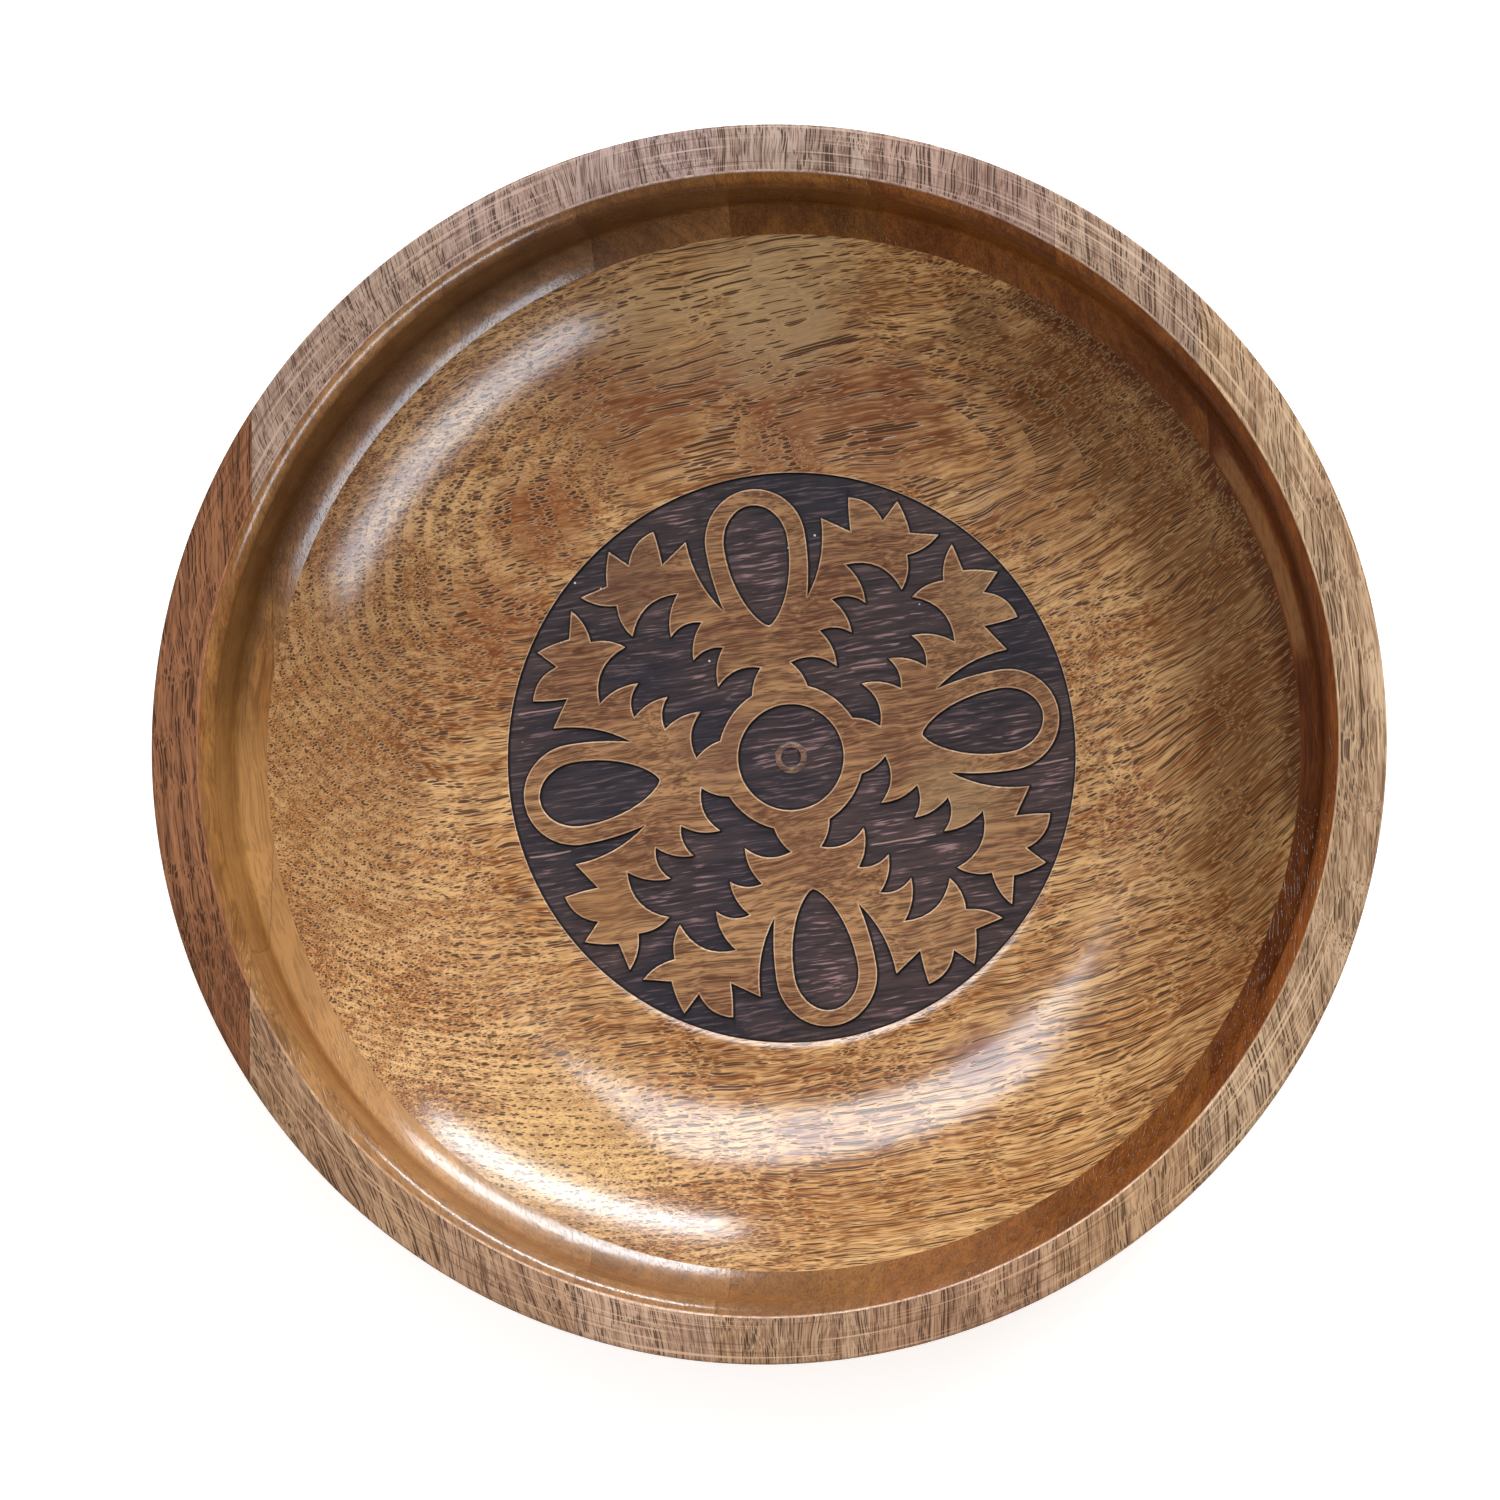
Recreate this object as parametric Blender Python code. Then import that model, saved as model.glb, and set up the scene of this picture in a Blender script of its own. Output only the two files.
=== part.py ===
"""Carved wooden bowl: a turned dish with a sunk leaf medallion and a rim ring of glued boards.

Metres, +Z up. The origin is the middle of the flat foot, where the bowl stands.
+X runs along the grain of the dish; the boards of the rim lie across it, along Y.
"""

import math

import bmesh
import bpy

# ---- driving sizes (metres) -------------------------------------------------------------
RIM_RADIUS = 0.150          # outer radius at the top of the rim
HEIGHT = 0.072              # foot to rim
RIM_FACE = 0.0118           # width of the flat rim face
RIM_EDGE = 0.0006           # small chamfer on both edges of the rim face
GLUE_Z = 0.0375             # height of the glue line between dish and rim ring
# inside of the rim ring: a sloping ledge over the glue line, an upright wall, a sloping lip
LEDGE_END = (0.1330, 0.0418)
WALL_FOOT = (0.1342, 0.0440)
WALL_HEAD = (0.1348, 0.0680)
LIP_START = (0.1354, 0.0694)
DISH_MOUTH = 0.1270         # inner radius at the glue line
FLOOR_Z = 0.0160            # flat floor inside
FLOOR_RADIUS = 0.0735       # where the floor starts to rise
DISH_POWER = 2.1            # how the inside rises from floor to glue line
FOOT_RADIUS = 0.0780
FOOT_HEIGHT = 0.0040
FOOT_CHAMFER = 0.0008
HOLLOW_RADIUS = 0.0660      # shallow hollow turned under the foot
HOLLOW_DEPTH = 0.0015
WALL_START = 0.0800         # outer wall: radius where it leaves the foot
WALL_POWER = 1.9            # superellipse exponent of the outer wall
GAP = 0.0003                # clearance left for each glue line
STEPS = 72                  # facets in one turn

# ---- boards of the rim ring: X of the joints between them, left to right -----------------
JOINTS = (-0.1254, -0.0789, -0.0461, -0.0122, 0.0255, 0.0703, 0.1051)

# ---- medallion ---------------------------------------------------------------------------
MEDALLION = 0.0704          # radius of the sunk circle
SINK = 0.0010               # depth of the sunk ground
TURN = math.radians(9.4)    # first leaf axis, counter-clockwise from +X
PETALS = 4
DISC = 0.186                # centre disc, as a part of the medallion radius
HUB = 0.256                 # raised ring round the disc
PETAL_TIP = 0.953
PETAL_WIDE = (0.770, 0.177)
EGG = (0.469, 0.897, 0.760, 0.113)   # low tip, top, widest place, half width
# half a leaf from the slit beside the petal round its thorns to the neck:
# along the axis, across it, and the bulge of the edge that follows (+ swells out)
LEAF = (
    (0.545, 0.149, -0.08), (0.810, 0.242, 0.00), (0.745, 0.337, 0.02),
    (0.865, 0.349, 0.15), (0.763, 0.454, 0.00), (0.822, 0.516, 0.04),
    (0.704, 0.542, 0.00), (0.681, 0.640, 0.09), (0.630, 0.519, 0.10),
    (0.513, 0.481, -0.19), (0.634, 0.300, 0.10), (0.488, 0.348, -0.15),
    (0.521, 0.232, 0.10), (0.394, 0.283, -0.13), (0.421, 0.172, 0.10),
    (0.287, 0.212, -0.16), (0.328, 0.053, 0.08),
)
NECK = (0.236, 0.099)

COLOURS = {
    "dish": (0.42, 0.22, 0.09),
    "left": (0.25, 0.12, 0.07),
    "right": (0.46, 0.31, 0.19),
    "boards": (
        (0.36, 0.24, 0.15), (0.40, 0.25, 0.16), (0.42, 0.28, 0.19),
        (0.44, 0.30, 0.20), (0.34, 0.21, 0.15), (0.45, 0.30, 0.19),
    ),
}


def clear():
    """Empty the file."""
    for thing in list(bpy.data.objects):
        bpy.data.objects.remove(thing, do_unlink=True)


def wood(name, colour):
    """One varnished wood material."""
    material = bpy.data.materials.new(name)
    material.use_nodes = True
    shader = material.node_tree.nodes["Principled BSDF"]
    shader.inputs["Base Color"].default_value = (*colour, 1.0)
    shader.inputs["Roughness"].default_value = 0.38
    return material


def finish(name, work, material):
    """Turn a finished bmesh into a smooth-shaded object with its faces pointing out."""
    bmesh.ops.recalc_face_normals(work, faces=work.faces)
    mesh = bpy.data.meshes.new(name)
    work.to_mesh(mesh)
    work.free()
    mesh.shade_smooth()
    mesh.set_sharp_from_angle(angle=math.radians(30.0))
    mesh.materials.append(material)
    thing = bpy.data.objects.new(name, mesh)
    bpy.context.scene.collection.objects.link(thing)
    return thing


def outer_radius(z):
    """Radius of the outer wall at a height."""
    drop = (HEIGHT - z) / (HEIGHT - FOOT_HEIGHT)
    return WALL_START + (RIM_RADIUS - WALL_START) * (1.0 - drop**WALL_POWER) ** (1.0 / WALL_POWER)


def outer_wall(low, high, count):
    """Points up the outer wall, closer together where it turns fastest."""
    points = []
    for k in range(count + 1):
        z = low + (high - low) * (k / count) ** 1.6
        points.append((outer_radius(z), z))
    return points


def bow(a, b, bulge, count):
    """Arc from a to b without its end; a positive bulge swells to the right of the way."""
    dx = b[0] - a[0]
    dy = b[1] - a[1]
    points = []
    for k in range(count):
        t = k / count
        swell = 4.0 * bulge * t * (1.0 - t)
        points.append((a[0] + dx * t + dy * swell, a[1] + dy * t - dx * swell))
    return points


def dish_profile():
    """Half section of the dish from the hollow under the foot round to the floor."""
    top = GLUE_Z - GAP / 2.0
    points = [
        (HOLLOW_RADIUS - 0.002, HOLLOW_DEPTH),
        (HOLLOW_RADIUS, 0.0),
        (FOOT_RADIUS - FOOT_CHAMFER, 0.0),
        (FOOT_RADIUS, FOOT_CHAMFER),
        (FOOT_RADIUS, FOOT_HEIGHT - FOOT_CHAMFER),
    ]
    points += outer_wall(FOOT_HEIGHT, top, 8)
    inside = 9
    for k in range(inside, -1, -1):
        t = k / inside
        r = FLOOR_RADIUS + (DISH_MOUTH - FLOOR_RADIUS) * t
        points.append((r, FLOOR_Z + (top - FLOOR_Z) * t**DISH_POWER))
    return points


def ring_section():
    """Closed cross section of the rim ring."""
    low = GLUE_Z + GAP / 2.0
    inner = RIM_RADIUS - RIM_FACE
    points = outer_wall(low, HEIGHT - RIM_EDGE, 5)
    points.append((RIM_RADIUS - RIM_EDGE, HEIGHT))
    points.append((inner + RIM_EDGE / 2.0, HEIGHT))
    points += [(inner, HEIGHT - RIM_EDGE / 2.0), LIP_START]
    points += bow(WALL_HEAD, WALL_FOOT, -0.01, 3)
    points += bow(WALL_FOOT, LEDGE_END, -0.18, 3)
    points += [LEDGE_END, (DISH_MOUTH, low)]
    return points


def lathe(name, profile, material):
    """Solid turned from an open half section; both ends are closed with flat discs."""
    work = bmesh.new()
    verts = [work.verts.new((r, 0.0, z)) for r, z in profile]
    edges = [work.edges.new(pair) for pair in zip(verts, verts[1:])]
    bmesh.ops.spin(
        work,
        geom=verts + edges,
        axis=(0.0, 0.0, 1.0),
        cent=(0.0, 0.0, 0.0),
        angle=2.0 * math.pi,
        steps=STEPS,
        use_merge=True,
    )
    bmesh.ops.holes_fill(work, edges=work.edges, sides=STEPS)
    return finish(name, work, material)


def block(name, section, start, end, side, material):
    """Part of the ring between two upright joints.

    start and end are X of the joints, None where the block runs on round the bowl.
    side is +1 behind the middle, -1 in front of it, 0 for a block that spans both.
    """
    sweep = []
    for r, _z in section:
        if side:
            turn = (math.acos(end / r), math.acos(start / r))
        elif start is None:
            turn = (math.acos(end / r), 2.0 * math.pi - math.acos(end / r))
        else:
            turn = (-math.acos(start / r), math.acos(start / r))
        sweep.append(turn)
    widest = max(abs(b - a) for a, b in sweep)
    count = max(3, math.ceil(widest * STEPS / (2.0 * math.pi)))
    work = bmesh.new()
    loops = []
    for j in range(count + 1):
        loop = []
        for (r, z), (a, b) in zip(section, sweep):
            t = a + (b - a) * j / count
            loop.append(work.verts.new((r * math.cos(t), (side or 1) * r * math.sin(t), z)))
        loops.append(loop)
    for one, two in zip(loops, loops[1:]):
        for i in range(len(section)):
            work.faces.new((one[i - 1], one[i], two[i], two[i - 1]))
    work.faces.new(loops[0])
    work.faces.new(loops[-1])
    return finish(name, work, material)


def half_petal(count):
    """Rounded petal edge from its tip down to the slit, without the slit point."""
    wide, half = PETAL_WIDE
    points = []
    for k in range(count):
        a = 0.5 * math.pi * k / count
        points.append((wide + (PETAL_TIP - wide) * math.cos(a), half * math.sin(a)))
    foot, narrow = LEAF[0][:2]
    for k in range(3):
        t = k / 3.0
        points.append((wide + (foot - wide) * t, half + (narrow - half) * t * t))
    return points


def half_unit():
    """Petal tip, leaf thorns and neck on the left of one axis."""
    points = half_petal(5)
    stops = [p[:2] for p in LEAF] + [NECK]
    for k, (_u, _v, bulge) in enumerate(LEAF):
        count = 3 if abs(bulge) > 0.05 else 1
        points += bow(stops[k], stops[k + 1], bulge, count)
    points.append(NECK)
    return points


def place(u, v, axis):
    """Medallion point on one leaf axis, in metres."""
    c = math.cos(axis)
    s = math.sin(axis)
    return (MEDALLION * (u * c - v * s), MEDALLION * (u * s + v * c))


def motif():
    """Outline of the raised leaves, petals and hub as one loop, counter-clockwise."""
    half = half_unit()
    between = math.pi / PETALS - math.atan2(NECK[1], NECK[0])
    loop = []
    for k in range(PETALS):
        axis = TURN + 2.0 * math.pi * k / PETALS
        loop += [place(u, -v, axis) for u, v in reversed(half[1:])]
        loop += [place(u, v, axis) for u, v in half]
        edge = axis + math.pi / PETALS
        for n in (-0.5, 0.0, 0.5):
            a = edge + between * n
            loop.append((MEDALLION * HUB * math.cos(a), MEDALLION * HUB * math.sin(a)))
    return loop


def egg(axis):
    """Pointed oval sunk into one petal."""
    low, top, wide, half = EGG
    side = []
    for k in range(6):
        a = 0.5 * math.pi * k / 6
        side.append((wide + (top - wide) * math.cos(a), half * math.sin(a)))
    for k in range(6):
        t = k / 6
        side.append((wide + (low - wide) * t, half * (1.0 - t * t) ** 0.7))
    full = side + [(low, 0.0)]
    full += [(u, -v) for u, v in reversed(side[1:])]
    return [place(u, v, axis) for u, v in full]


def circle(radius, count):
    """Points round a circle."""
    turns = [2.0 * math.pi * k / count for k in range(count)]
    return [(radius * math.cos(a), radius * math.sin(a)) for a in turns]


def sink_cutter():
    """Everything to be sunk into the floor, as one mesh of separate upright plugs."""
    low = FLOOR_Z - SINK
    high = FLOOR_Z + SINK
    work = bmesh.new()
    groups = [[circle(MEDALLION, STEPS), motif()], [circle(MEDALLION * DISC, 32)]]
    for k in range(PETALS):
        groups.append([egg(TURN + 2.0 * math.pi * k / PETALS)])
    for loops in groups:
        edges = []
        for loop in loops:
            ring = [work.verts.new((x, y, low)) for x, y in loop]
            edges += [work.edges.new((ring[i - 1], ring[i])) for i in range(len(ring))]
        made = bmesh.ops.triangle_fill(work, edges=edges, use_beauty=True, normal=(0, 0, -1))
        faces = [g for g in made["geom"] if isinstance(g, bmesh.types.BMFace)]
        lifted = bmesh.ops.extrude_face_region(work, geom=faces, use_keep_orig=True)
        tops = [g for g in lifted["geom"] if isinstance(g, bmesh.types.BMVert)]
        bmesh.ops.translate(work, verts=tops, vec=(0.0, 0.0, high - low))
    bmesh.ops.recalc_face_normals(work, faces=work.faces)
    mesh = bpy.data.meshes.new("medallion_cutter")
    work.to_mesh(mesh)
    work.free()
    thing = bpy.data.objects.new("medallion_cutter", mesh)
    bpy.context.scene.collection.objects.link(thing)
    thing.hide_render = True
    thing.display_type = "WIRE"
    return thing


def build():
    """The dish and the boards of its rim."""
    clear()
    dish = lathe("dish", dish_profile(), wood("dish_wood", COLOURS["dish"]))
    carve = dish.modifiers.new("medallion", "BOOLEAN")
    carve.operation = "DIFFERENCE"
    carve.solver = "EXACT"
    carve.object = sink_cutter()

    section = ring_section()
    slack = GAP / 2.0
    left = wood("left_board_wood", COLOURS["left"])
    right = wood("right_board_wood", COLOURS["right"])
    block("rim_left_block", section, None, JOINTS[0] - slack, 0, left)
    block("rim_right_block", section, JOINTS[-1] + slack, None, 0, right)
    for k in range(len(JOINTS) - 1):
        start = JOINTS[k] + slack
        end = JOINTS[k + 1] - slack
        for word, side in (("back", 1), ("front", -1)):
            name = f"rim_{word}_block_{k + 1}"
            board = wood(f"{word}_board_{k + 1}_wood", COLOURS["boards"][k])
            block(name, section, start, end, side, board)


build()
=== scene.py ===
"""Looks of the carved wooden bowl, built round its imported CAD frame.

Metres, +Z up. +X runs to the right along the grain of the dish, +Y away from the viewer.
"""

import math

import bmesh
import bpy
from mathutils import Matrix, Vector, kdtree, noise
from mathutils.geometry import delaunay_2d_cdt


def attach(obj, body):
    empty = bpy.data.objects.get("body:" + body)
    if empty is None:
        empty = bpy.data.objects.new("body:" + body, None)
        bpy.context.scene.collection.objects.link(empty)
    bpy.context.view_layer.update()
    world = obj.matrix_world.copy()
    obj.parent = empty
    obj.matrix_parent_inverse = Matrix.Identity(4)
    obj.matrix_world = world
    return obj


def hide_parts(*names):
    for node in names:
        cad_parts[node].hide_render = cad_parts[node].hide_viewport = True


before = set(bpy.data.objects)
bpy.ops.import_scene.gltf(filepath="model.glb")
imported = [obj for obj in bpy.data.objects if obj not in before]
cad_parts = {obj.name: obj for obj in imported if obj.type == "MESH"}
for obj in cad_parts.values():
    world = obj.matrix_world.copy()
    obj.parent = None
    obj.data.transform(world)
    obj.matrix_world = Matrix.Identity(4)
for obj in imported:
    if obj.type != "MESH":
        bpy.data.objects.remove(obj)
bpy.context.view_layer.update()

# ---- sizes (metres) ----------------------------------------------------------------------
# the ledge and wall foot are 0.4 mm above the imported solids' and curve less
MM = 0.001
RIM_RADIUS = 0.14985
HEIGHT = 0.0720
RIM_INNER = 0.1382
ARRIS = 0.0006              # narrow worn chamfer on the rim's inner edge
GLUE_Z = 0.0375
LEDGE_END = (0.1330, 0.0422)
WALL_FOOT = (0.1342, 0.0444)
WALL_HEAD = (0.1348, 0.0680)
LIP_START = (0.1354, 0.0694)
DISH_MOUTH = 0.1270
FLOOR_Z = 0.0160
FLOOR_RADIUS = 0.0735
DISH_POWER = 2.1
FOOT_RADIUS = 0.0780
FOOT_HEIGHT = 0.0040
HOLLOW_RADIUS = 0.0660
HOLLOW_DEPTH = 0.0015
WALL_START = 0.0800
WALL_POWER = 1.9
JOINTS = (-0.1254, -0.0789, -0.0461, -0.0122, 0.0255, 0.0703, 0.1051)
HAIR = 0.00003              # half the width left open in a glue line
TURN_STEPS = 384

MEDALLION = 0.0704
SINK = 0.0010
LIP = 0.00020
AXIS = math.radians(9.4)
PETALS = 4
DISC = 0.186
HUB = 0.256
PETAL_TIP = 0.953
PETAL_WIDE = (0.770, 0.177)
EGG = (0.469, 0.897, 0.760, 0.113)
LEAF = (
    (0.545, 0.149, -0.08), (0.810, 0.242, 0.00), (0.745, 0.337, 0.02),
    (0.865, 0.349, 0.15), (0.763, 0.454, 0.00), (0.822, 0.516, 0.04),
    (0.704, 0.542, 0.00), (0.681, 0.640, 0.09), (0.630, 0.519, 0.10),
    (0.513, 0.481, -0.19), (0.634, 0.300, 0.10), (0.488, 0.348, -0.15),
    (0.521, 0.232, 0.10), (0.394, 0.283, -0.13), (0.421, 0.172, 0.10),
    (0.287, 0.212, -0.16), (0.328, 0.053, 0.08),
)
NECK = (0.236, 0.099)

# faces of the dish by finish, and faces of a rim board
LACQUER, BURNT, WORN, OUTSIDE, RAISED, BUTTON = range(6)
DRESSED, INSIDE, INNER_EDGE = range(3)
SHARP = math.radians(32.0)  # edges turned by more than this stay crisp
BURNT_DEEP = 0.00007        # height of the relief left in the burnt ground


def srgb(r, g, b):
    """Linear colour from 0-255 display values."""
    out = []
    for v in (r, g, b):
        v /= 255.0
        out.append(v / 12.92 if v <= 0.04045 else ((v + 0.055) / 1.055) ** 2.4)
    return tuple(out)


# ---- node helpers --------------------------------------------------------------------------
class Graph:
    """Short names for building one node tree."""

    def __init__(self, material):
        material.use_nodes = True
        self.tree = material.node_tree
        self.tree.nodes.clear()

    def put(self, socket, value):
        if isinstance(value, bpy.types.NodeSocket):
            self.tree.links.new(value, socket)
        elif value is not None:
            socket.default_value = value

    def node(self, kind, **settings):
        made = self.tree.nodes.new(kind)
        for key, value in settings.items():
            setattr(made, key, value)
        return made

    def math(self, operation, a, b=None, c=None):
        made = self.node("ShaderNodeMath", operation=operation)
        for socket, value in zip(made.inputs, (a, b, c)):
            self.put(socket, value)
        return made.outputs[0]

    def vector(self, operation, a, b=None, c=None, result=0):
        made = self.node("ShaderNodeVectorMath", operation=operation)
        for socket, value in zip(made.inputs, (a, b, c)):
            self.put(socket, value)
        return made.outputs[result]

    def mapping(self, vector, rotation=(0, 0, 0), scale=(1, 1, 1)):
        made = self.node("ShaderNodeMapping")
        self.put(made.inputs["Vector"], vector)
        made.inputs["Rotation"].default_value = rotation
        made.inputs["Scale"].default_value = scale
        return made.outputs[0]

    def noise(self, vector, scale, detail=3.0, rough=0.55, distortion=0.0, output="Fac"):
        """Noise with its own stretch along each axis: scale is one number or three."""
        if isinstance(scale, tuple):
            vector = self.mapping(vector, scale=scale)
            scale = 1.0
        made = self.node("ShaderNodeTexNoise")
        self.put(made.inputs["Vector"], vector)
        made.inputs["Scale"].default_value = scale
        made.inputs["Detail"].default_value = detail
        made.inputs["Roughness"].default_value = rough
        made.inputs["Distortion"].default_value = distortion
        return made.outputs[output]

    def waver(self, vector, scale, detail, rough=0.5):
        """Soft random shift along each axis, about zero."""
        drift = self.noise(vector, scale, detail, rough, output="Color")
        return self.vector("SUBTRACT", drift, (0.5, 0.5, 0.5))

    def cells(self, vector, scale):
        """Voronoi cells stretched along each axis."""
        made = self.node("ShaderNodeTexVoronoi", feature="F1")
        self.put(made.inputs["Vector"], self.mapping(vector, scale=scale))
        made.inputs["Scale"].default_value = 1.0
        made.inputs["Randomness"].default_value = 1.0
        return made.outputs["Distance"], made.outputs["Color"]

    def ramp(self, value, low, high, to_low=0.0, to_high=1.0, smooth=True):
        made = self.node("ShaderNodeMapRange", clamp=True)
        made.interpolation_type = "SMOOTHSTEP" if smooth else "LINEAR"
        self.put(made.inputs["Value"], value)
        for name, number in zip(("From Min", "From Max", "To Min", "To Max"), (low, high, to_low, to_high)):
            self.put(made.inputs[name], number)
        return made.outputs["Result"]

    def mix(self, fac, a, b):
        made = self.node("ShaderNodeMix", data_type="RGBA")
        self.put(made.inputs["Factor"], fac)
        for name, value in (("A", a), ("B", b)):
            socket = [s for s in made.inputs if s.name == name and s.type == "RGBA"][0]
            if isinstance(value, (tuple, list)):
                value = (*value[:3], 1.0)
            self.put(socket, value)
        return [s for s in made.outputs if s.type == "RGBA"][0]

    def parts(self, vector):
        made = self.node("ShaderNodeSeparateXYZ")
        self.put(made.inputs[0], vector)
        return made.outputs


# ---- wood ----------------------------------------------------------------------------------
def smudge(g, place, ragged, base, x, y, radius, strength, colour):
    """Soft-edged patch of colour at one spot of the bowl, for stains and for painted sheen."""
    flat = g.vector("MULTIPLY", place, (1.0, 1.0, 0.0))
    away = g.vector("DISTANCE", flat, (x, y, 0.0), result=1)
    away = g.math("MULTIPLY_ADD", ragged, radius * 1.6, away)
    return g.mix(g.ramp(away, radius * 0.35, radius * 1.6, strength, 0.0), base, colour)


def band(g, x, y, reach, ragged, base, near, far, soft, middle, half, fade, strength, colour):
    """Tint between two radii, over part of a turn (angles in degrees from +X): painted shade, painted light
    or a stain, as each list says.
    """
    a = math.radians(middle)
    facing = g.math("MULTIPLY_ADD", y, math.sin(a), g.math("MULTIPLY", x, math.cos(a)))
    turn = g.math("ARCCOSINE", g.math("DIVIDE", facing, reach))
    turn = g.math("MULTIPLY_ADD", ragged, math.radians(fade) * 0.8, turn)
    within = g.ramp(turn, math.radians(half - fade), math.radians(half), strength, 0.0)
    wobble = g.math("MULTIPLY_ADD", ragged, soft * 1.2, reach)
    within = g.math("MULTIPLY", within, g.ramp(wobble, near - soft, near + soft))
    within = g.math("MULTIPLY", within, g.ramp(wobble, far - soft, far + soft, 1.0, 0.0))
    return g.mix(within, base, colour)


def wood(
    name, tones, fibre=0.0, dip=8.0, seed=0.0, pore=1.0, pore_size=1.0, coat=0.8, streak=1.0,
    rings=(0.02, -0.09, 0.006), ring_line=0.0, flame=1.0, turned=0.0, edge=None, spots=(), arcs=(),
    rough=(0.34, 0.48), rows=0.5, gloss=0.06, bend=0.0,
):
    """Solid wood with its fibres at an angle from +X, dipping a few degrees under the surface.

    Vessels are thin tubes along the fibres, so a face along them shows dashes and a face
    across them shows dots. tones are (dark, middle, light, cloud). rings are the pith's
    place across the fibres and the distance from ring to ring.
    """
    material = bpy.data.materials.new(name)
    g = Graph(material)
    place = g.node("ShaderNodeTexCoord").outputs["Object"]
    board = g.mapping(place, rotation=(0.0, math.radians(dip), -math.radians(fibre)))
    shifted = g.vector("ADD", board, (seed * 0.37, seed * 0.53, seed * 0.19))

    # the fibres wander: broad waves first, then small ones
    broad = g.waver(shifted, (17.0, 24.0, 24.0), 1.0)
    small = g.waver(shifted, (85.0, 100.0, 100.0), 1.0)
    grain = g.vector("MULTIPLY_ADD", broad, (0.0, 0.0120, 0.0110), shifted)
    grain = g.vector("MULTIPLY_ADD", small, (0.0, 0.0022, 0.0026), grain)
    if bend:
        # past a point on the right the fibres swing back and rise with the wall
        over = g.math("MAXIMUM", g.math("SUBTRACT", g.parts(board)[0], 0.040), 0.0)
        swing = g.math("MULTIPLY", g.math("MULTIPLY", over, over), -bend)
        turn = g.node("ShaderNodeCombineXYZ")
        g.put(turn.inputs[1], swing)
        g.put(turn.inputs[2], swing)
        grain = g.vector("ADD", grain, turn.outputs[0])
    _along, side, up = g.parts(grain)

    # growth rings round a pith well outside the board
    pith_y, pith_z, spacing = rings
    radial = g.vector("MULTIPLY_ADD", broad, (0.0, 0.010, 0.010), board)
    radial = g.vector("SUBTRACT", g.vector("MULTIPLY", radial, (0.0, 1.0, 1.0)), (0.0, pith_y, pith_z))
    ring = g.math("FRACT", g.math("DIVIDE", g.vector("LENGTH", radial, result=1), spacing))
    late = g.ramp(ring, 0.30, 0.85)

    bands = g.noise(grain, (7.0, 95.0, 75.0), 3.0, 0.6, 0.4)
    fine = g.noise(grain, (55.0, 640.0, 640.0), 2.0, 0.6)
    hair = g.noise(grain, (150.0, 2300.0, 2300.0), 1.0, 0.5)
    clouds = g.noise(shifted, (14.0, 26.0, 26.0), 3.0, 0.5, 0.6)
    ripple = g.noise(grain, (140.0, 60.0, 80.0), 3.0, 0.65)

    dark, middle, light, cloud = tones
    base = g.mix(g.ramp(bands, 0.40, 0.60), middle, light)
    base = g.mix(g.ramp(clouds, 0.46, 0.68, 0.0, 0.75), base, cloud)
    base = g.mix(g.ramp(ripple, 0.50, 0.68, 0.0, 0.50 * flame), base, light)
    base = g.mix(g.ramp(ripple, 0.32, 0.49, 0.34 * flame, 0.0), base, dark)
    base = g.mix(g.ramp(late, 0.0, 1.0, 0.32 * rows, 0.0), base, dark)
    if ring_line:
        line = g.math("PINGPONG", ring, 0.5)
        base = g.mix(g.ramp(line, 0.0, 0.035, ring_line, 0.0), base, dark)
    base = g.mix(g.ramp(fine, 0.36, 0.49, 0.50 * streak, 0.0), base, dark)
    base = g.mix(g.ramp(fine, 0.53, 0.66, 0.0, 0.40 * streak), base, light)
    base = g.mix(g.ramp(hair, 0.34, 0.50, 0.48 * streak, 0.0), base, dark)
    base = g.mix(g.ramp(hair, 0.52, 0.68, 0.0, 0.38 * streak), base, light)

    x, y, _z = g.parts(place)
    reach = g.math("SQRT", g.math("MULTIPLY_ADD", x, x, g.math("MULTIPLY", y, y)))
    if spots or arcs:
        ragged = g.math("SUBTRACT", g.noise(place, 75.0, 3.0, 0.7), 0.5)
        for sx, sy, radius, strength, colour in spots:
            base = smudge(g, place, ragged, base, sx, sy, radius, strength, srgb(*colour))
        for *shape, colour in arcs:
            base = band(g, x, y, reach, ragged, base, *shape, srgb(*colour))

    # vessels in loose groups, more of them late in each ring
    crowd = g.ramp(g.noise(shifted, (34.0, 80.0, 80.0), 2.0), 0.30, 0.62, 0.74, 1.12)
    crowd = g.math("MULTIPLY", crowd, g.ramp(late, 0.0, 1.0, 1.30, 1.30 - 0.98 * rows))
    cell = g.node("ShaderNodeTexVoronoi", feature="F1", voronoi_dimensions="2D")
    across = g.node("ShaderNodeCombineXYZ")
    g.put(across.inputs[0], side)
    g.put(across.inputs[1], up)
    g.put(cell.inputs["Vector"], across.outputs[0])
    cell.inputs["Scale"].default_value = 1180.0 / pore_size
    chance = g.parts(cell.outputs["Color"])[0]
    radius = g.math("MULTIPLY", crowd, g.ramp(chance, 0.0, 1.0, 0.14, 0.29, smooth=False))
    beyond = g.math("SUBTRACT", cell.outputs["Distance"], radius)
    vessel = g.ramp(beyond, -0.02, 0.055, 1.0, 0.0)
    halo = g.ramp(beyond, 0.10, 0.26, 1.0, 0.0)
    base = g.mix(g.math("MULTIPLY", halo, 0.34 * pore), base, light)
    pit = tuple(c * 0.42 for c in dark)
    base = g.mix(g.math("MULTIPLY", vessel, min(1.0, 0.88 * pore)), base, pit)

    if turned:
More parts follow.
